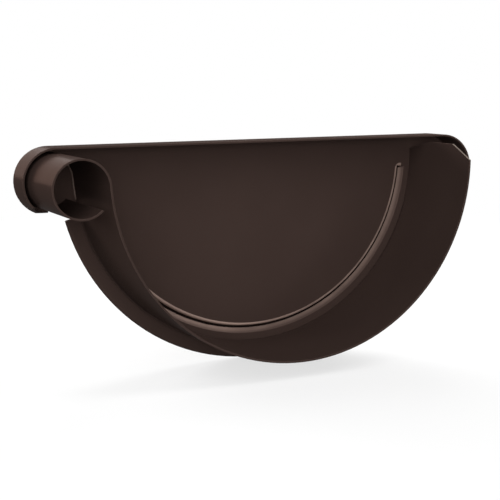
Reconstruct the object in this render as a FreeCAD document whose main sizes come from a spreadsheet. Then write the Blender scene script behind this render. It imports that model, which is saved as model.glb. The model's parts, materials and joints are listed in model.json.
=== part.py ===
"""Steel end cap for a half-round gutter, with a socket for the gutter's rolled front bead.

Two sheet-metal pieces, held together by a folded seam:
end_plate     the pressed plate that closes the gutter, with its lip, rounded ears and rib
gutter_skirt  the half-round strip that grips the gutter, curled outwards into the bead socket

Frame: X points to the back edge of the gutter, Z up, and Y into the plate. The origin is on the
axis of the half-round, on the inner face of the plate. Lengths are millimetres. Angles are
degrees from X towards Z.
"""
import FreeCAD, Part
import math
import os

import Sketcher

SIZES = {
    # the sheet and the skirt
    "sheet": 0.6,
    "bend_radius": 0.5,
    "skirt_radius": 64.0,
    "skirt_depth": 37.5,
    "skirt_top": 4.0,
    # the bead socket
    "bead_radius": 9.2,
    "bead_angle": 3.7,
    "curl_gap_angle": 46.0,
    # the folded seam between skirt and plate
    "seam_width": 4.6,
    "seam_angle": 15.1,
    "seam_play": 0.3,
    # the lip and the ears of the plate
    "lip_depth": 12.0,
    "lip_height": 6.4,
    "back_ear_offset": 6.0,
    "back_ear_radius": 11.6,
    "front_ear_sweep": 180.0,
    "back_ear_sweep": 172.0,
    "back_relief_step": 1.9,
    "lip_end_step": 0.6,
    "lip_end_rise": 3.2,
    "web_corner_angle": 10.5,
    # the stiffening rib
    "rib_inset": 4.8,
    "rib_depth": 1.6,
    "rib_floor": 0.4,
    "rib_inner_flank": 0.7,
    "rib_outer_flank": 1.7,
    "rib_end_angle": 5.0,
    "rib_edge_round": 0.4,
    # the trimmed back end of the skirt
    "trim_length": 10.1,
    "trim_height": 5.0,
    "dip_length": 14.0,
    "dip_height": 2.8,
}

doc = FreeCAD.newDocument("gutter_end_cap")


def make_sheet():
    """The driving dimensions, one named cell each."""
    sheet = doc.addObject("Spreadsheet::Sheet", "Sizes")
    for row, (name, number) in enumerate(SIZES.items(), start=1):
        sheet.set(f"A{row}", name)
        sheet.set(f"B{row}", str(number))
        sheet.setAlias(f"B{row}", name)
    doc.recompute()
    return sheet


sizes = make_sheet()

# Formulas that several features share. A name in square brackets is a cell of the sheet.
INNER_RADIUS = "([skirt_radius] - [sheet])"
OUTER_BEND = "([bend_radius] + [sheet])"
FOLD_RADIUS = "([skirt_radius] + [seam_width])"
WEB_RADIUS = "([skirt_radius] + [bend_radius] + [seam_play])"
BEAD_DISTANCE = f"({INNER_RADIUS} + [bead_radius])"
BEAD_X = f"(-{BEAD_DISTANCE} * cos([bead_angle] * 1deg))"
BEAD_Z = f"(-{BEAD_DISTANCE} * sin([bead_angle] * 1deg))"
FRONT_EAR_RADIUS = f"([lip_height] - {BEAD_Z})"
FRONT_RELIEF_RADIUS = "([bead_radius] + [seam_play])"
BACK_EAR_X = "([skirt_radius] + [back_ear_offset])"
BACK_EAR_Z = "([lip_height] - [back_ear_radius])"
SKIRT_END_ANGLE = "([skirt_top] / [skirt_radius] * 60 + 1)"
RIB_RADIUS = "([skirt_radius] - [rib_inset])"
RIB_END_ALLOWANCE = f"([sheet] / {RIB_RADIUS} * 60)"


def formula(text):
    """The same formula with the cells' full names."""
    return text.replace("[", "Sizes.").replace("]", "")


def worth(text):
    """What a formula comes to, in millimetres or degrees."""
    return float(sizes.evalExpression(formula(text)))


def bind(item, path, text):
    """Tie one property of an object to a formula, where it names a cell."""
    if "[" in text:
        item.setExpression(path, formula(text))


def make_body(name):
    body = doc.addObject("PartDesign::Body", name)
    body.Label = name
    return body


def make_sketch(body, name, role, base=("0", "0", "0"), turn="0"):
    """A sketch on a plane of its body's origin, moved, and turned from X towards Z."""
    sketch = body.newObject("Sketcher::SketchObject", name)
    plane = next(item for item in body.Origin.OriginFeatures if item.Role == role)
    sketch.AttachmentSupport = [(plane, "")]
    sketch.MapMode = "FlatFace"
    towards_z = FreeCAD.Rotation(FreeCAD.Vector(0, -1, 0), worth(turn))
    place = FreeCAD.Vector(*[worth(text) for text in base])
    sketch.AttachmentOffset = FreeCAD.Placement(place, towards_z)
    for axis, text in zip("xyz", base):
        bind(sketch, f"AttachmentOffset.Base.{axis}", text)
    bind(sketch, "AttachmentOffset.Rotation.Angle", turn)
    return sketch


def pin(sketch, edge, point, kind, text):
    """Hold one coordinate of a point at a formula's value."""
    line = sketch.addConstraint(Sketcher.Constraint(kind, -1, 1, edge, point, worth(text)))
    bind(sketch, f"Constraints[{line}]", text)


def draw_outline(sketch, corners):
    """A closed outline of lines and arcs.

    A corner is (x, y) where a line starts, or (x, y, centre x, centre y, "left" or "right")
    where an arc starts that turns that way.
    """
    count = len(corners)
    ends = []
    for index, corner in enumerate(corners):
        following = corners[(index + 1) % count]
        start = FreeCAD.Vector(worth(corner[0]), worth(corner[1]), 0)
        end = FreeCAD.Vector(worth(following[0]), worth(following[1]), 0)
        if len(corner) == 2:
            sketch.addGeometry(Part.LineSegment(start, end), False)
            ends.append((1, 2))
            continue
        centre = FreeCAD.Vector(worth(corner[2]), worth(corner[3]), 0)
        circle = Part.Circle(centre, FreeCAD.Vector(0, 0, 1), (start - centre).Length)
        if corner[4] == "right":
            start, end = end, start
        angles = [math.atan2(point.y - centre.y, point.x - centre.x) for point in (start, end)]
        sketch.addGeometry(Part.ArcOfCircle(circle, *angles), False)
        ends.append((1, 2) if corner[4] == "left" else (2, 1))
    for index, corner in enumerate(corners):
        following = (index + 1) % count
        sketch.addConstraint(Sketcher.Constraint(
            "Coincident", index, ends[index][1], following, ends[following][0]))
        pin(sketch, index, ends[index][0], "DistanceX", corner[0])
        pin(sketch, index, ends[index][0], "DistanceY", corner[1])
        if len(corner) > 2:
            pin(sketch, index, 3, "DistanceX", corner[2])


def rectangle(x_low, x_high, y_low, y_high):
    return [(x_low, y_low), (x_high, y_low), (x_high, y_high), (x_low, y_high)]


def mirrored(corners):
    """The same outline with its two directions exchanged."""
    other = {"left": "right", "right": "left"}
    result = []
    for corner in corners:
        if len(corner) == 2:
            result.append((corner[1], corner[0]))
        else:
            x, y, centre_x, centre_y, way = corner
            result.append((y, x, centre_y, centre_x, other[way]))
    return result


def finish(body, feature, adds):
    """Stop if a feature doesn't add or cut what it should."""
    before = feature.BaseFeature.Shape.Volume if feature.BaseFeature else 0.0
    doc.recompute()
    gained = body.Shape.Volume - before
    if (gained if adds else -gained) < 1e-3:
        raise ValueError(f"{feature.Name} changes the volume by {gained:.4f}")
    return feature


def turned(body, kind, name, sketch, sweep):
    """Turn a section about its sketch's upright axis, from Z towards X, or cut with it."""
    feature = body.newObject(f"PartDesign::{kind}", name)
    feature.Profile = sketch
    feature.ReferenceAxis = (sketch, ["V_Axis"])
    feature.Angle = worth(sweep)
    bind(feature, "Angle", sweep)
    return finish(body, feature, adds=kind == "Revolution")


def pushed(body, kind, name, sketch, length, reverse=False):
    """Push a section along its plane's normal, or cut with it against the normal."""
    feature = body.newObject(f"PartDesign::{kind}", name)
    feature.Profile = sketch
    feature.Length = worth(length)
    bind(feature, "Length", length)
    feature.Reversed = reverse
    return finish(body, feature, adds=kind == "Pad")


def lip_section(rim, web_start):
    """Section of the plate's edge: the web, a bend, and the lip that points at the gutter."""
    inner = f"({rim} - [sheet])"
    bend_centre = f"({rim} - {OUTER_BEND})"
    return [
        (web_start, "0"),
        (bend_centre, "0", bend_centre, "-[bend_radius]", "right"),
        (inner, "-[bend_radius]"),
        (inner, "-[lip_depth]"),
        (rim, "-[lip_depth]"),
        (rim, "-[bend_radius]", bend_centre, "-[bend_radius]", "left"),
        (bend_centre, "[sheet]"),
        (web_start, "[sheet]"),
    ]


def add_ear(body, name, centre, rim, relief, start, sweep):
    """A round ear: a web disc as large as the relief, and the web and lip that go round it."""
    sketch = make_sketch(body, f"{name}LipSection", "XY_Plane", centre, start)
    draw_outline(sketch, lip_section(rim, "0"))
    turned(body, "Revolution", f"{name}Lip", sketch, sweep)
    sketch = make_sketch(body, f"{name}WebSection", "XY_Plane", centre)
    draw_outline(sketch, rectangle("0", relief, "0", "[sheet]"))
    turned(body, "Revolution", f"{name}Web", sketch, "360")


def trim_lip(body, name, centre, rim, towards_back):
    """Cut the free end of an ear's lip on the slant, with the web that carries it."""
    sketch = make_sketch(body, f"{name}LipTrimOutline", "YZ_Plane", ("0", "0", centre[0]))
    bottom = f"({centre[2]} - {rim} + [lip_end_step])"
    past_rim = f"({bottom} - [lip_end_step] - [sheet])"
    draw_outline(sketch, [
        ("[sheet]", bottom),
        ("-[lip_depth]", f"{bottom} + [lip_end_rise]"),
        ("-[lip_depth]", past_rim),
        ("[sheet]", past_rim),
    ])
    pushed(body, "Pocket", f"{name}LipTrim", sketch, rim, reverse=towards_back)


def make_end_plate():
    body = make_body("end_plate")

    # the web below the seam's ends, and the hem folded over the skirt's flange
    sketch = make_sketch(body, "HemSection", "XY_Plane", turn="-[seam_angle]")
    draw_outline(sketch, [
        ("0", "0"),
        (FOLD_RADIUS, "0"),
        (FOLD_RADIUS, "-[sheet]"),
        (WEB_RADIUS, "-[sheet]"),
        (WEB_RADIUS, "-2 * [sheet]"),
        (FOLD_RADIUS, "-2 * [sheet]", FOLD_RADIUS, "-0.5 * [sheet]", "left"),
        (FOLD_RADIUS, "[sheet]"),
        ("0", "[sheet]"),
    ])
    turned(body, "Revolution", "Hem", sketch, "180 - 2 * [seam_angle]")

    # the web between the seam and the ears
    sketch = make_sketch(body, "WebSection", "XY_Plane")
    draw_outline(sketch, rectangle("0", WEB_RADIUS, "0", "[sheet]"))
    turned(body, "Revolution", "Web", sketch, "180")

    # the straight lip and the web under it, from the middle of one ear to the other's
    sketch = make_sketch(body, "TopLipSection", "YZ_Plane", ("0", "0", BEAD_X))
    draw_outline(sketch, mirrored(lip_section("[lip_height]", BEAD_Z)))
    pushed(body, "Pad", "TopLip", sketch, f"{BACK_EAR_X} - {BEAD_X}")

    front = (BEAD_X, "0", BEAD_Z)
    back = (BACK_EAR_X, "0", BACK_EAR_Z)
    add_ear(body, "FrontEar", front, FRONT_EAR_RADIUS, FRONT_RELIEF_RADIUS,
            "90 + [front_ear_sweep]", "[front_ear_sweep]")
    add_ear(body, "BackEar", back, "[back_ear_radius]", "([back_ear_radius] - [back_relief_step])",
            "90", "[back_ear_sweep]")
    trim_lip(body, "FrontEar", front, FRONT_EAR_RADIUS, towards_back=False)
    trim_lip(body, "BackEar", back, "[back_ear_radius]", towards_back=True)
    add_web_corner(body)
    add_rib(body)
    return body


def add_web_corner(body):
    """The corner of the web between the front ear and the seam, under the socket's gap."""
    sketch = make_sketch(body, "WebCornerOutline", "XZ_Plane")
    draw_outline(sketch, [
        (BEAD_X, BEAD_Z),
        (f"{BEAD_X} + {FRONT_RELIEF_RADIUS} * cos([curl_gap_angle] * 1deg)",
         f"{BEAD_Z} - {FRONT_RELIEF_RADIUS} * sin([curl_gap_angle] * 1deg)"),
        (f"-{WEB_RADIUS} * cos([web_corner_angle] * 1deg)",
         f"-{WEB_RADIUS} * sin([web_corner_angle] * 1deg)"),
        (f"-{INNER_RADIUS}", BEAD_Z),
    ])
    pushed(body, "Pad", "WebCorner", sketch, "[sheet]", reverse=True)


def add_rib(body):
    """The rib pressed outwards round the web, a channel when seen from the gutter."""
    inner_floor = f"({RIB_RADIUS} - [rib_floor] / 2)"
    outer_floor = f"({RIB_RADIUS} + [rib_floor] / 2)"
    inner_mouth = f"({inner_floor} - [rib_inner_flank])"
    outer_mouth = f"({outer_floor} + [rib_outer_flank])"

    sketch = make_sketch(body, "RibBackSection", "XY_Plane",
                         turn=f"{RIB_END_ALLOWANCE} - [rib_end_angle]")
    draw_outline(sketch, [
        (f"{inner_mouth} - [sheet]", "[sheet] / 2"),
        (f"{outer_mouth} + [sheet]", "[sheet] / 2"),
        (f"{outer_mouth} + [sheet]", "[sheet]"),
        (f"{outer_floor} + [sheet] / 2", "[rib_depth] + [sheet]"),
        (f"{inner_floor} - [sheet] / 2", "[rib_depth] + [sheet]"),
        (f"{inner_mouth} - [sheet]", "[sheet]"),
    ])
    turned(body, "Revolution", "RibBack", sketch,
           f"180 - 2 * [rib_end_angle] + 2 * {RIB_END_ALLOWANCE}")

    sketch = make_sketch(body, "RibChannelSection", "XY_Plane", turn="-[rib_end_angle]")
    draw_outline(sketch, [
        (inner_mouth, "0"),
        (outer_mouth, "0"),
        (outer_floor, "[rib_depth]"),
        (inner_floor, "[rib_depth]"),
    ])
    channel = turned(body, "Groove", "RibChannel", sketch, "180 - 2 * [rib_end_angle]")

    mouth = [f"Edge{number}" for number, edge in enumerate(channel.Shape.Edges, start=1)
             if lies_in_ring(edge, worth(inner_mouth), worth(outer_mouth))]
    rounding = body.newObject("PartDesign::Fillet", "RibMouth")
    rounding.Base = (channel, mouth)
    rounding.Radius = worth("[rib_edge_round]")
    bind(rounding, "Radius", "[rib_edge_round]")
    finish(body, rounding, adds=False)


def lies_in_ring(edge, inner, outer, margin=0.01):
    """Whether an edge has its ends on the web's inner face, between two radii."""
    return all(abs(end.Y) < margin and inner - margin < math.hypot(end.X, end.Z) < outer + margin
               for end in edge.Vertexes)


def make_gutter_skirt():
    body = make_body("gutter_skirt")

    # the half-round wall
    sketch = make_sketch(body, "WallSection", "XY_Plane", turn=SKIRT_END_ANGLE)
    draw_outline(sketch, rectangle(INNER_RADIUS, "[skirt_radius]", "-[skirt_depth]", "0"))
    turned(body, "Revolution", "Wall", sketch, f"180 + {SKIRT_END_ANGLE} - [bead_angle]")

    # the bead socket, curled outwards from the wall's front edge
    sketch = make_sketch(body, "CurlSection", "XY_Plane", (BEAD_X, "0", BEAD_Z),
                         "360 - [curl_gap_angle]")
    draw_outline(sketch, rectangle("([bead_radius] - [sheet])", "[bead_radius]",
                                   "-[skirt_depth]", "0"))
    turned(body, "Revolution", "Curl", sketch, "360 - [curl_gap_angle] - [bead_angle]")

    # the flange that the plate's hem clasps, with its bend
    bend_end = "([skirt_radius] + [bend_radius])"
    sketch = make_sketch(body, "FlangeSection", "XY_Plane", turn="-[seam_angle]")
    draw_outline(sketch, [
        (INNER_RADIUS, f"-{OUTER_BEND}"),
        ("[skirt_radius]", f"-{OUTER_BEND}", bend_end, f"-{OUTER_BEND}", "right"),
        (bend_end, "-[sheet]"),
        (f"{FOLD_RADIUS} - [seam_play]", "-[sheet]"),
        (f"{FOLD_RADIUS} - [seam_play]", "0"),
        (INNER_RADIUS, "0"),
    ])
    turned(body, "Revolution", "Flange", sketch, "180 - 2 * [seam_angle]")

    # the outside of that bend
    sketch = make_sketch(body, "BendSection", "XY_Plane", turn="-[seam_angle]")
    draw_outline(sketch, [
        (INNER_RADIUS, f"-{OUTER_BEND}", bend_end, f"-{OUTER_BEND}", "right"),
        (bend_end, "0"),
        (INNER_RADIUS, "0"),
    ])
    turned(body, "Groove", "Bend", sketch, "180 - 2 * [seam_angle]")

    # the back end, level, slanted towards the open edge and dipping towards the plate
    sketch = make_sketch(body, "BackEndOutline", "YZ_Plane", ("0", "0", "[skirt_radius] / 2"))
    above = f"([skirt_top] + {OUTER_BEND} + [seam_width])"
    draw_outline(sketch, [
        ("-[skirt_depth]", "[skirt_top] - [trim_height]"),
        ("[trim_length] - [skirt_depth]", "[skirt_top]"),
        ("-[dip_length]", "[skirt_top]"),
        ("0", "[skirt_top] - [dip_height]"),
        ("0", above),
        ("-[skirt_depth]", above),
    ])
    pushed(body, "Pocket", "BackEnd", sketch, "[skirt_radius]", reverse=True)
    return body


def check_document(bodies):
    """Stop if any object failed, or a piece is not one valid solid."""
    for item in doc.Objects:
        if "Invalid" in item.State or "Error" in item.State:
            raise ValueError(f"{item.Name} is {item.State}")
    for body in bodies:
        if body.Shape.isNull() or not body.Shape.isValid() or len(body.Shape.Solids) != 1:
            raise ValueError(f"{body.Label} is not one valid solid")


def main():
    bodies = [make_end_plate(), make_gutter_skirt()]
    doc.recompute()
    check_document(bodies)
    os.makedirs("parts", exist_ok=True)
    for body in bodies:
        body.Shape.exportStep(f"parts/{body.Label}.step")
        print(body.Label, round(body.Shape.Volume, 1), body.Shape.BoundBox)


main()
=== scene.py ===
"""Dark coated-steel end cap for a half-round gutter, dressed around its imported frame."""

import bmesh
import bpy
import json
import math
from mathutils import Matrix, Vector, noise


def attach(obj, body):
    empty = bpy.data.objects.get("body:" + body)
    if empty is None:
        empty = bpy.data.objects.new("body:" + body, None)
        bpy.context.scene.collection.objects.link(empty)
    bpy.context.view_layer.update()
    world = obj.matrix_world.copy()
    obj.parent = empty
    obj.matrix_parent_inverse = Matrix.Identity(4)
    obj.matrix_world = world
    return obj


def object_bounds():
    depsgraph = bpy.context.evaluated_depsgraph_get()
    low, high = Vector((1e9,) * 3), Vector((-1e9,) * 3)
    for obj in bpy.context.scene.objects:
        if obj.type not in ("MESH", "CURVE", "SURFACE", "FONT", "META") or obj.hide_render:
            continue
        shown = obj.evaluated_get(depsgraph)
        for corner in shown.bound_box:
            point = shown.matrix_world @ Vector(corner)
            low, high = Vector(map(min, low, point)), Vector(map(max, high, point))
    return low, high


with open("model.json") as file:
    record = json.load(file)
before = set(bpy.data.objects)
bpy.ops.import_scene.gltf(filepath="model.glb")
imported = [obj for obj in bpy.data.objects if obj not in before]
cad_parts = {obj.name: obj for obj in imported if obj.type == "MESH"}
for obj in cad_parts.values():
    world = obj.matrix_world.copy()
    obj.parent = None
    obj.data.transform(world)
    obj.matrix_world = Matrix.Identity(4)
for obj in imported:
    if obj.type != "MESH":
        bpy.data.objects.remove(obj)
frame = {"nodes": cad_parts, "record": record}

bl_info = {
    "name": "Gutter End Cap",
    "version": (1, 0, 0),
    "blender": (4, 5, 0),
    "location": "View3D > Sidebar > End Cap",
    "description": "Coats the end cap's sheet metal and sets it up in a plain studio",
    "category": "Object",
}

MM = 0.001
WHITE = (1.0, 1.0, 1.0, 1.0)
LOWEST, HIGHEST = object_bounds()

# The bead socket's axis where it meets the plate, and its inside radius
SOCKET = next(mount for mount in frame["record"]["mounts"] if mount["name"] == "bead_socket")
SOCKET_AXIS = Vector((SOCKET["pos_m"][0], 0.0, SOCKET["pos_m"][2]))
SOCKET_RADIUS = SOCKET["dims"]["r_mm"] * MM


class CoatingSettings(bpy.types.PropertyGroup):
    """The dark coating on the sheet metal."""

    tone: bpy.props.FloatVectorProperty(
        name="Tone", description="Colour of the coating where it is even",
        subtype="COLOR", size=3, min=0.0, max=1.0, default=(0.0484, 0.0313, 0.0267))
    warm_tone: bpy.props.FloatVectorProperty(
        name="Warm Tone", description="Colour of the coating where it is slightly thinner",
        subtype="COLOR", size=3, min=0.0, max=1.0, default=(0.0570, 0.0372, 0.0316))
    rubbed_tone: bpy.props.FloatVectorProperty(
        name="Rubbed Tone", description="Colour of the coating where an edge is rubbed",
        subtype="COLOR", size=3, min=0.0, max=1.0, default=(0.125, 0.089, 0.076))
    # Painted highlight: the pale tone on the rib's lip and flank stands in for the light they catch
    rib_highlight_tone: bpy.props.FloatVectorProperty(
        name="Pressed Tone", description="Colour of the coating where pressing stretched it",
        subtype="COLOR", size=3, min=0.0, max=1.0, default=(0.37, 0.264, 0.222))
    # Painted shade: the dark tone in the rib's groove and past the flank's ends stands in for the
    # shade that falls there
    groove_shade_tone: bpy.props.FloatVectorProperty(
        name="Pooled Tone", description="Colour of the coating where it lies thick in the rib",
        subtype="COLOR", size=3, min=0.0, max=1.0, default=(0.013, 0.0085, 0.007))
    # Bare metal of the skirt's cut, and painted highlight: the pale tone also stands in for the
    # light the cut edge catches
    cut_metal_highlight_tone: bpy.props.FloatVectorProperty(
        name="Cut Tone", description="Colour of the bare metal in the skirt's cut corner",
        subtype="COLOR", size=3, min=0.0, max=1.0, default=(0.21, 0.17, 0.145))
    roughness: bpy.props.FloatProperty(
        name="Roughness", description="Roughness of the coating where it is even",
        min=0.0, max=1.0, default=0.24)
    metal_share: bpy.props.FloatProperty(
        name="Metal Share", description="How much of the coating mirrors as metal does",
        subtype="FACTOR", min=0.0, max=1.0, default=0.07)
    edge_tint: bpy.props.FloatVectorProperty(
        name="Edge Tint", description="Colour of what the coating mirrors at a shallow angle",
        subtype="COLOR", size=3, min=0.0, max=1.0, default=(0.53, 0.475, 0.455))
    peel_size: bpy.props.FloatProperty(
        name="Peel Size", description="Width of one dimple of the sprayed surface",
        unit="LENGTH", min=0.0001, max=0.01, default=1.1 * MM)
    peel_height: bpy.props.FloatProperty(
        name="Peel Height", description="Height of the dimples of the sprayed surface",
        unit="LENGTH", min=0.0, max=0.001, default=0.007 * MM)
    wave_size: bpy.props.FloatProperty(
        name="Wave Size", description="Length of the slow waves that pressing leaves in the sheet",
        unit="LENGTH", min=0.005, max=0.5, default=45.0 * MM)
    wave_height: bpy.props.FloatProperty(
        name="Wave Height", description="Height of those waves",
        unit="LENGTH", min=0.0, max=0.002, default=0.10 * MM)
    edge_round: bpy.props.FloatProperty(
        name="Edge Round", description="How far the coating rounds the sheet's cut edges",
        unit="LENGTH", min=0.0, max=0.001, default=0.22 * MM)


class SeamSettings(bpy.types.PropertyGroup):
    """The sealant laid in the corner between the bead socket and the end plate."""

    # Painted light: the seam's pale tone stands in for the light line seen along the joint inside
    # the socket
    tone: bpy.props.FloatVectorProperty(
        name="Seam Tone", description="Colour of the coated sealant",
        subtype="COLOR", size=3, min=0.0, max=1.0, default=(0.17, 0.125, 0.105))
    radius: bpy.props.FloatProperty(
        name="Seam Radius", description="Radius of the bead of sealant",
        unit="LENGTH", min=0.0001, max=0.002, default=0.30 * MM)
    unevenness: bpy.props.FloatProperty(
        name="Unevenness", description="How much the bead swells and thins",
        subtype="FACTOR", min=0.0, max=0.9, default=0.7)
    start: bpy.props.FloatProperty(
        name="Seam Start", description="Where the bead starts, up from the level of the socket",
        unit="ROTATION", default=math.radians(46))
    skirt_sweep: bpy.props.FloatProperty(
        name="Seam Skirt Sweep", description="How far round the gutter's axis it then runs down",
        unit="ROTATION", min=0.0, default=math.radians(6.3))


class StudioSettings(bpy.types.PropertyGroup):
    """The floor, the soft lamps and the camera."""

    floor_colour: bpy.props.FloatVectorProperty(
        name="Floor Colour",
        description="Colour of the light that the floor throws back. The floor is seen as white",
        subtype="COLOR", size=3, min=0.0, max=1.0, default=(0.14, 0.14, 0.14))
    floor_radius: bpy.props.FloatProperty(
        name="Floor Radius", description="Radius of the round floor",
        unit="LENGTH", min=0.5, max=10.0, default=3.0)
    shadow_share: bpy.props.FloatProperty(
        name="Shadow Share",
        description="How much of the floor's white comes from the lamps, close to the object",
        subtype="FACTOR", min=0.0, max=1.0, default=0.30)
    air_strength: bpy.props.FloatProperty(
        name="Air Strength", description="Strength of the even light from all round",
        min=0.0, max=10.0, default=0.12)
    key_power: bpy.props.FloatProperty(
        name="Key Power", description="Power of the large lamp in front, at the upper left",
        unit="POWER", min=0.0, max=500.0, default=7.0)
    right_power: bpy.props.FloatProperty(
        name="Right Power", description="Power of the small lamp at the upper right",
        unit="POWER", min=0.0, max=500.0, default=3.2)
    front_power: bpy.props.FloatProperty(
        name="Front Power", description="Power of the low lamp in front",
        unit="POWER", min=0.0, max=500.0, default=5.4)
    back_power: bpy.props.FloatProperty(
        name="Back Power", description="Power of the high lamp behind, at the right",
        unit="POWER", min=0.0, max=500.0, default=5.5)
    strip_power: bpy.props.FloatProperty(
        name="Strip Power", description="Power of the wide lamp behind, at the left",
        unit="POWER", min=0.0, max=500.0, default=11.8)
    focal_length: bpy.props.FloatProperty(
        name="Focal Length", description="Focal length of the camera, in millimetres",
        min=10.0, max=500.0, default=88.2)


class Nodes:
    """A material's or world's node tree, with one call per node."""

    def __init__(self, owner):
        owner.use_nodes = True
        self.tree = owner.node_tree
        self.tree.nodes.clear()

    def add(self, kind, inputs=None, **settings):
        """A new node. Each of its inputs is a value or another node's output."""
        node = self.tree.nodes.new(kind)
        for name, value in settings.items():
            setattr(node, name, value)
        for name, value in (inputs or {}).items():
            socket = node.inputs[name]
            if isinstance(value, bpy.types.NodeSocket):
                self.tree.links.new(value, socket)
            else:
                socket.default_value = value
        return node

    def noise(self, place, size, detail=2.0, roughness=0.5):
        """Noise with features of about one size, from 0 to 1."""
        node = self.add("ShaderNodeTexNoise", {
            "Vector": place, "Scale": 1.0 / size, "Detail": detail, "Roughness": roughness})
        return node.outputs["Fac"]

    def spread(self, value, low, high, to_low=0.0, to_high=1.0):
        """A value's range stretched to another range, and held at its ends."""
        node = self.add("ShaderNodeMapRange", {
            "Value": value, "From Min": low, "From Max": high, "To Min": to_low, "To Max": to_high})
        return node.outputs["Result"]

    def maths(self, operation, *values):
        """The result of one Math node."""
        inputs = dict(enumerate(values))
        return self.add("ShaderNodeMath", inputs, operation=operation).outputs["Value"]

    def times(self, product, *values):
        """Several values multiplied."""
        for value in values:
            product = self.maths("MULTIPLY", product, value)
        return product

    def band(self, value, low, high, fade):
        """1 between two values and 0 outside them, with a fade at each."""
        rise = self.spread(value, low - fade, low + fade)
        fall = self.spread(value, high + fade, high - fade)
        return self.times(rise, fall)

    def length(self, first, second):
        """How long the line from the origin to a point of a plane is."""
        point = self.add("ShaderNodeCombineXYZ", {"X": first, "Y": second}).outputs["Vector"]
        return self.add("ShaderNodeVectorMath", {0: point}, operation="LENGTH").outputs["Value"]

    def mixed(self, share, first, second):
        """Two colours mixed. A Mix node's sockets for colours are found by number, not name."""
        node = self.add("ShaderNodeMix", {0: share, 6: first, 7: second}, data_type="RGBA")
        return node.outputs[2]


def opaque(colour):
    """A colour with no transparency."""
    return (*colour, 1.0)


# Sizes of the marks in the coating
PATCH_SIZE = 60.0 * MM
SPECK_SIZE = 0.35 * MM
SCUFF_SIZE = 4.0 * MM

# How far a rounded edge turns from its face, as a cosine, where wear starts and where it is full
WEAR_START, WEAR_FULL = 0.99, 0.80

# A speck's tone as a share of the even one, and how strongly it shows
SPECK_TONE = 0.8
SPECK_SHARE = 0.35

# How much the roughness falls and rises in patches, and rises in specks, on edges and where the
# local tone makes it more matt
PATCH_SMOOTHER, PATCH_ROUGHER = 0.03, 0.04
SPECK_ROUGHER = 0.04
EDGE_ROUGHER = 0.10
WORKED_ROUGHER = 0.35


def coated_steel(name, coating, local_tone):
    """Semi-gloss sprayed coating: dimples, slow waves, an uneven tone and rubbed edges.

    local_tone() gives the tone, from the even one and the rubbed one, with the painted light of the
    rib, the cut and the seam, and how much more matt it is there.
    """
    material = bpy.data.materials.new(name)
    nodes = Nodes(material)
    place = nodes.add("ShaderNodeTexCoord").outputs["Object"]
    patches = nodes.noise(place, PATCH_SIZE, detail=3.0)
    dimples = nodes.noise(place, coating.peel_size, detail=2.0)
    waves = nodes.noise(place, coating.wave_size, detail=1.0, roughness=0.3)
    specks = nodes.noise(place, SPECK_SIZE, detail=1.0)
    scuffs = nodes.noise(place, SCUFF_SIZE, detail=4.0)

    rounded = nodes.add("ShaderNodeBevel", {"Radius": coating.edge_round}, samples=6)
    faces = nodes.add("ShaderNodeNewGeometry").outputs["Normal"]
    turn = nodes.add("ShaderNodeVectorMath", {0: rounded.outputs["Normal"], 1: faces},
                     operation="DOT_PRODUCT").outputs["Value"]
    near_edge = nodes.spread(turn, WEAR_START, WEAR_FULL)
    rubbed = nodes.times(near_edge, nodes.spread(scuffs, 0.40, 0.62, to_low=0.35))

    tone = nodes.mixed(nodes.spread(patches, 0.35, 0.65), opaque(coating.tone),
                       opaque(coating.warm_tone))
    speck_tone = tuple(SPECK_TONE * part for part in coating.tone)
    tone = nodes.mixed(nodes.spread(specks, 0.60, 0.80, to_high=SPECK_SHARE), tone,
                       opaque(speck_tone))
    worn = nodes.mixed(rubbed, tone, opaque(coating.rubbed_tone))
    # The local tone adds painted highlight and shade: on the rib, on the cut corner and on the seam
    tone, matt = local_tone(nodes, coating, place, faces, tone, worn)

    rough = nodes.spread(patches, 0.30, 0.70, coating.roughness - PATCH_SMOOTHER,
                         coating.roughness + PATCH_ROUGHER)
    for rougher in (nodes.spread(specks, 0.40, 0.80, to_high=SPECK_ROUGHER),
                    nodes.times(rubbed, EDGE_ROUGHER),
                    nodes.times(matt, WORKED_ROUGHER)):
        rough = nodes.maths("ADD", rough, rougher)

    slow = nodes.add("ShaderNodeBump", {
        "Height": waves, "Distance": coating.wave_height, "Strength": 1.0,
        "Normal": rounded.outputs["Normal"]})
    fine = nodes.add("ShaderNodeBump", {
        "Height": dimples, "Distance": coating.peel_height, "Strength": 1.0,
        "Normal": slow.outputs["Normal"]})

    # There is no clear gloss on top: only the metal's share mirrors.
    surface = nodes.add("ShaderNodeBsdfPrincipled", {
        "Base Color": tone, "Roughness": rough, "Metallic": coating.metal_share,
        "Specular IOR Level": 0.0, "Specular Tint": opaque(coating.edge_tint),
        "Normal": fine.outputs["Normal"]})
    nodes.add("ShaderNodeOutputMaterial", {"Surface": surface.outputs["BSDF"]})
    material.diffuse_color = opaque(coating.tone)
    return material


# The middle of the rib's groove from the gutter's axis, and the height where the rib ends
GROOVE_RADIUS = 59.45 * MM
RIB_END_HEIGHT = -5.9 * MM
RIB_END_FADE = 0.3 * MM

# Distances from the middle of the groove. The lip is on its inner side, the flank on its outer. The
# groove takes painted shade, the lip and the flank painted highlight.
GROOVE_DARK, GROOVE_CLEAR = 0.65 * MM, 0.85 * MM
LIP_START, LIP_END, LIP_FADE = 0.80 * MM, 1.85 * MM, 0.12 * MM
LIP_OUTER_LIMIT = 0.5 * MM
FLANK_START, FLANK_END, FLANK_FADE = 0.1 * MM, 1.7 * MM, 0.1 * MM
FLANK_DIMMED = 1.3 * MM
EVEN_WITHIN, WORN_BEYOND = 2.5 * MM, 2.8 * MM

# Where along the plate the rib's painted highlight is palest and where it is dimmest, how pale it
# is there, and the size of its random breaks
PALEST_PLACE, DIMMEST_PLACE = -28.0 * MM, 8.0 * MM
PALEST, DIMMEST = 2.1, 0.72
HIGHLIGHT_BREAKUP_SIZE = 9.0 * MM


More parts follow.
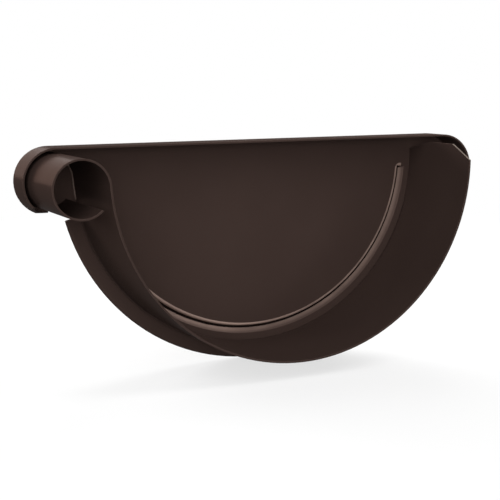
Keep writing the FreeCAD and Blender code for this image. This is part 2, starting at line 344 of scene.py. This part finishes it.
def rib_highlight_and_shade(nodes, coating, place, faces, even, worn):
    """The plate's tone: painted highlight on the rib's lip and flank, and painted shade in its
    groove.

    Places are measured from the middle of the groove, and round its ends beyond them.
    """
    parts = nodes.add("ShaderNodeSeparateXYZ", {"Vector": place}).outputs
    across = nodes.maths("SUBTRACT", nodes.length(parts["X"], parts["Z"]), GROOVE_RADIUS)
    past_end = nodes.maths("MAXIMUM", nodes.maths("SUBTRACT", parts["Z"], RIB_END_HEIGHT), 0.0)
    distance = nodes.length(across, past_end)
    before_end = nodes.spread(past_end, RIB_END_FADE, 0.0)
    facing = nodes.add("ShaderNodeSeparateXYZ", {"Vector": faces}).outputs
    faces_gutter = nodes.maths("LESS_THAN", facing["Y"], 0.0)

    # Painted highlight on the lip and the flank, broken up at random and palest towards the left
    lip = nodes.times(nodes.band(distance, LIP_START, LIP_END, LIP_FADE),
                      nodes.maths("LESS_THAN", across, LIP_OUTER_LIMIT))
    flank = nodes.times(nodes.band(across, FLANK_START, FLANK_END, FLANK_FADE),
                        nodes.spread(across, FLANK_START, FLANK_DIMMED, 0.75, 0.12), before_end)
    highlight_breakup = nodes.spread(nodes.noise(place, HIGHLIGHT_BREAKUP_SIZE, detail=3.0), 0.35, 0.65, to_low=0.75)
    along = nodes.spread(parts["X"], PALEST_PLACE, DIMMEST_PLACE, PALEST, DIMMEST)
    pale = nodes.times(nodes.maths("MAXIMUM", lip, flank), highlight_breakup, along, faces_gutter)

    # Painted shade in the groove and past the flank's ends
    near_groove = nodes.spread(distance, GROOVE_CLEAR, GROOVE_DARK)
    beside_flank = nodes.maths("MAXIMUM", nodes.maths("LESS_THAN", across, FLANK_START),
                               nodes.maths("SUBTRACT", 1.0, before_end))
    dark = nodes.times(near_groove, beside_flank, faces_gutter)

    tone = nodes.mixed(nodes.spread(distance, WORN_BEYOND, EVEN_WITHIN), worn, even)
    tone = nodes.mixed(pale, tone, opaque(coating.rib_highlight_tone))
    return nodes.mixed(dark, tone, opaque(coating.groove_shade_tone)), pale


# The skirt's slanting cut lies past this depth and above this height, and faces this far upwards
CUT_DEPTH = 27.2 * MM
CUT_HEIGHT = -2.0 * MM
CUT_UPWARDS = 0.6


def cut_metal_and_highlight(nodes, coating, place, faces, even, worn):
    """The skirt's tone: the sheet's bare metal shows in the slanting cut at the back corner, made
    pale enough to paint in the highlight along that edge too.
    """
    parts = nodes.add("ShaderNodeSeparateXYZ", {"Vector": place}).outputs
    facing = nodes.add("ShaderNodeSeparateXYZ", {"Vector": faces}).outputs
    # Bare metal and painted highlight on the cut faces that face upwards
    bare = nodes.times(nodes.maths("LESS_THAN", parts["Y"], -CUT_DEPTH),
                       nodes.maths("GREATER_THAN", parts["X"], 0.0),
                       nodes.maths("GREATER_THAN", parts["Z"], CUT_HEIGHT),
                       nodes.maths("GREATER_THAN", facing["Z"], CUT_UPWARDS))
    return nodes.mixed(bare, worn, opaque(coating.cut_metal_highlight_tone)), bare


# How much of the seam's pale tone, painted light along the joint, shows over the even one, and how
# matt the seam is
SEAM_LIGHT_SHARE = 0.85
SEALANT_MATT = 0.2


def sealant(nodes, coating, place, faces, even, worn):
    """The seam's tone: the even tone mixed with the seam's pale one, which is painted light along
    the joint.
    """
    tone = opaque(bpy.context.scene.endcap_seam.tone)
    return nodes.mixed(SEAM_LIGHT_SHARE, even, tone), SEALANT_MATT


# The bead's section and its steps along each of its two arcs, and the length of one swelling
SEAM_SIDES = 10
SEAM_STEPS = 50
SWELL_SIZE = 1.3 * MM


def make_seam(seam, coating):
    """A thin uneven bead where the socket's wall, and the skirt's below it, meet the plate."""
    sunk = 0.5 * seam.radius
    core = Vector((SOCKET_RADIUS - sunk, -sunk, 0.0))
    joining = math.atan2(-SOCKET_AXIS.z, -SOCKET_AXIS.x)
    shape = bmesh.new()
    bmesh.ops.create_circle(shape, cap_ends=True, segments=SEAM_SIDES, radius=seam.radius)
    bmesh.ops.translate(shape, verts=shape.verts, vec=SOCKET_AXIS + core)
    bmesh.ops.rotate(shape, verts=shape.verts, cent=SOCKET_AXIS,
                     matrix=Matrix.Rotation(-seam.start, 3, "Y"))
    turned = bmesh.ops.spin(shape, geom=shape.verts[:] + shape.edges[:] + shape.faces[:],
                            cent=SOCKET_AXIS, axis=(0.0, 1.0, 0.0), steps=SEAM_STEPS,
                            angle=seam.start - joining)
    bmesh.ops.spin(shape, geom=turned["geom_last"], cent=(0.0, 0.0, 0.0),
                   axis=(0.0, 1.0, 0.0), steps=SEAM_STEPS, angle=-seam.skirt_sweep)
    for vert in shape.verts:
        swell = 1.0 + seam.unevenness * noise.noise(Vector((0.0, 0.0, vert.co.z)) / SWELL_SIZE)
        vert.co.y = core.y + swell * (vert.co.y - core.y)
    bmesh.ops.recalc_face_normals(shape, faces=shape.faces)
    for face in shape.faces:
        face.smooth = True
    mesh = bpy.data.meshes.new("seam_bead")
    shape.to_mesh(mesh)
    shape.free()
    # The bead's pale tone is painted light along the joint
    mesh.materials.append(coated_steel("seam_coating", coating, sealant))
    bead = bpy.data.objects.new("seam_bead", mesh)
    bpy.context.scene.collection.objects.link(bead)
    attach(bead, "root")


def dress(node, material):
    """Put one material in every slot of a CAD node."""
    for slot in frame["nodes"][node].material_slots:
        slot.material = material


def seen_rays(nodes):
    """1 for the rays that show a surface: camera, glossy and transmission rays."""
    path = nodes.add("ShaderNodeLightPath").outputs
    both = nodes.maths("MAXIMUM", path["Is Camera Ray"], path["Is Glossy Ray"])
    return nodes.maths("MAXIMUM", both, path["Is Transmission Ray"])


# How far from the origin the floor's shadow is full, and how far it reaches, in metres
SHADOW_FULL, SHADOW_END = 0.15, 0.45
FLOOR_SIDES = 96


def floor_material(studio):
    """Pale and matt. Where it is seen it is near white, and it keeps the object's shadow."""
    material = bpy.data.materials.new("pale_floor")
    nodes = Nodes(material)
    place = nodes.add("ShaderNodeTexCoord").outputs["Object"]
    away = nodes.add("ShaderNodeVectorMath", {0: place}, operation="LENGTH").outputs["Value"]
    share = nodes.spread(away, SHADOW_FULL, SHADOW_END, studio.shadow_share, 0.0)
    plain = nodes.add("ShaderNodeBsdfDiffuse", {"Color": opaque(studio.floor_colour)})
    lit = nodes.add("ShaderNodeBsdfDiffuse", {"Color": WHITE})
    white = nodes.add("ShaderNodeEmission", {"Color": WHITE, "Strength": 1.0})
    seen = nodes.add("ShaderNodeMixShader", {
        "Fac": share, 1: white.outputs["Emission"], 2: lit.outputs["BSDF"]})
    surface = nodes.add("ShaderNodeMixShader", {
        "Fac": seen_rays(nodes), 1: plain.outputs["BSDF"], 2: seen.outputs["Shader"]})
    nodes.add("ShaderNodeOutputMaterial", {"Surface": surface.outputs["Shader"]})
    return material


def make_floor(studio):
    """A round floor under the lowest point of the object."""
    shape = bmesh.new()
    bmesh.ops.create_circle(shape, cap_ends=True, segments=FLOOR_SIDES,
                            radius=studio.floor_radius)
    bmesh.ops.translate(shape, verts=shape.verts, vec=(0.0, 0.0, LOWEST.z))
    mesh = bpy.data.meshes.new("floor")
    shape.to_mesh(mesh)
    shape.free()
    mesh.materials.append(floor_material(studio))
    floor = bpy.data.objects.new("floor", mesh)
    bpy.context.scene.collection.objects.link(floor)


def make_world(studio):
    """White where it is seen, and an even soft light for everything else."""
    world = bpy.data.worlds.new("studio_air")
    bpy.context.scene.world = world
    nodes = Nodes(world)
    strength = nodes.maths("MAXIMUM", seen_rays(nodes), studio.air_strength)
    light = nodes.add("ShaderNodeBackground", {"Color": WHITE, "Strength": strength})
    nodes.add("ShaderNodeOutputWorld", {"Surface": light.outputs["Background"]})


# Each lamp's size and where it stands, in metres
KEY_LAMP = {"width": 1.0, "height": 1.0, "place": (-0.54, -0.72, 0.40)}
RIGHT_LAMP = {"width": 0.40, "height": 0.40, "place": (0.55, -0.26, 0.61)}
FRONT_LAMP = {"width": 0.5, "height": 0.5, "place": (-0.25, -1.08, 0.02)}
BACK_LAMP = {"width": 0.5, "height": 0.5, "place": (0.42, 0.66, 0.72)}
STRIP_LAMP = {"width": 0.74, "height": 0.45, "place": (-0.22, 0.88, 0.22)}


def add_lamp(name, power, width, height, place):
    """A rectangular soft lamp at a place, turned to the origin."""
    data = bpy.data.lights.new(name, "AREA")
    data.energy = power
    data.shape = "RECTANGLE"
    data.size = width
    data.size_y = height
    lamp = bpy.data.objects.new(name, data)
    lamp.location = place
    lamp.rotation_euler = Vector(place).to_track_quat("Z", "Y").to_euler()
    bpy.context.scene.collection.objects.link(lamp)


# Where the camera stands, which way it looks, and its roll
CAMERA_PLACE = Vector((-0.17866, -0.38129, 0.02877))
CAMERA_LOOK = Vector((0.41766, 0.89727, -0.14306))
CAMERA_ROLL = math.radians(-0.48)


def make_camera(studio):
    """The camera, at the viewing angle that shows the plate from the gutter's side."""
    data = bpy.data.cameras.new("camera")
    data.lens = studio.focal_length
    camera = bpy.data.objects.new("camera", data)
    turn = CAMERA_LOOK.to_track_quat("-Z", "Y").to_matrix().to_4x4()
    camera.matrix_world = (Matrix.Translation(CAMERA_PLACE) @ turn
                           @ Matrix.Rotation(CAMERA_ROLL, 4, "Z"))
    bpy.context.scene.collection.objects.link(camera)
    bpy.context.scene.camera = camera


def clear_startup():
    """Remove the objects that a new Blender file starts with."""
    for name in ("Cube", "Light", "Camera"):
        spare = bpy.data.objects.get(name)
        if spare:
            bpy.data.objects.remove(spare)


class ENDCAP_OT_coat_plate(bpy.types.Operator):
    """Coat the end plate"""

    bl_idname = "endcap.coat_plate"
    bl_label = "Coat Plate"

    def execute(self, context):
        coating = context.scene.endcap_coating
        dress("end_plate", coated_steel("plate_coating", coating, rib_highlight_and_shade))
        return {"FINISHED"}


class ENDCAP_OT_coat_skirt(bpy.types.Operator):
    """Coat the half-round skirt and its curled bead socket"""

    bl_idname = "endcap.coat_skirt"
    bl_label = "Coat Skirt"

    def execute(self, context):
        coating = context.scene.endcap_coating
        dress("gutter_skirt", coated_steel("skirt_coating", coating, cut_metal_and_highlight))
        return {"FINISHED"}


class ENDCAP_OT_lay_seam(bpy.types.Operator):
    """Lay the bead of sealant inside the curled socket"""

    bl_idname = "endcap.lay_seam"
    bl_label = "Lay Seam"

    def execute(self, context):
        make_seam(context.scene.endcap_seam, context.scene.endcap_coating)
        return {"FINISHED"}


class ENDCAP_OT_set_studio(bpy.types.Operator):
    """Set up the pale floor, the soft lamps and the camera"""

    bl_idname = "endcap.set_studio"
    bl_label = "Set Up Studio"

    def execute(self, context):
        studio = context.scene.endcap_studio
        clear_startup()
        make_floor(studio)
        make_world(studio)
        add_lamp("key_lamp", studio.key_power, **KEY_LAMP)
        add_lamp("right_lamp", studio.right_power, **RIGHT_LAMP)
        add_lamp("front_lamp", studio.front_power, **FRONT_LAMP)
        add_lamp("back_lamp", studio.back_power, **BACK_LAMP)
        add_lamp("strip_lamp", studio.strip_power, **STRIP_LAMP)
        make_camera(studio)
        context.scene.view_settings.view_transform = "Standard"
        return {"FINISHED"}


class ENDCAP_PT_sidebar(bpy.types.Panel):
    """The end cap's steps and settings"""

    bl_idname = "ENDCAP_PT_sidebar"
    bl_label = "End Cap"
    bl_space_type = "VIEW_3D"
    bl_region_type = "UI"
    bl_category = "End Cap"

    def draw(self, context):
        for operator in OPERATORS:
            self.layout.operator(operator.bl_idname)
        scene = context.scene
        for settings in (scene.endcap_coating, scene.endcap_seam, scene.endcap_studio):
            for name in settings.__annotations__:
                self.layout.prop(settings, name)


OPERATORS = (ENDCAP_OT_coat_plate, ENDCAP_OT_coat_skirt, ENDCAP_OT_lay_seam,
             ENDCAP_OT_set_studio)
CLASSES = (CoatingSettings, SeamSettings, StudioSettings, *OPERATORS, ENDCAP_PT_sidebar)


def register():
    for item in CLASSES:
        bpy.utils.register_class(item)
    bpy.types.Scene.endcap_coating = bpy.props.PointerProperty(type=CoatingSettings)
    bpy.types.Scene.endcap_seam = bpy.props.PointerProperty(type=SeamSettings)
    bpy.types.Scene.endcap_studio = bpy.props.PointerProperty(type=StudioSettings)


def unregister():
    del bpy.types.Scene.endcap_studio
    del bpy.types.Scene.endcap_seam
    del bpy.types.Scene.endcap_coating
    for item in reversed(CLASSES):
        bpy.utils.unregister_class(item)


def main():
    register()
    bpy.ops.endcap.coat_plate()
    bpy.ops.endcap.coat_skirt()
    bpy.ops.endcap.lay_seam()
    bpy.ops.endcap.set_studio()


if __name__ == "__main__":
    main()
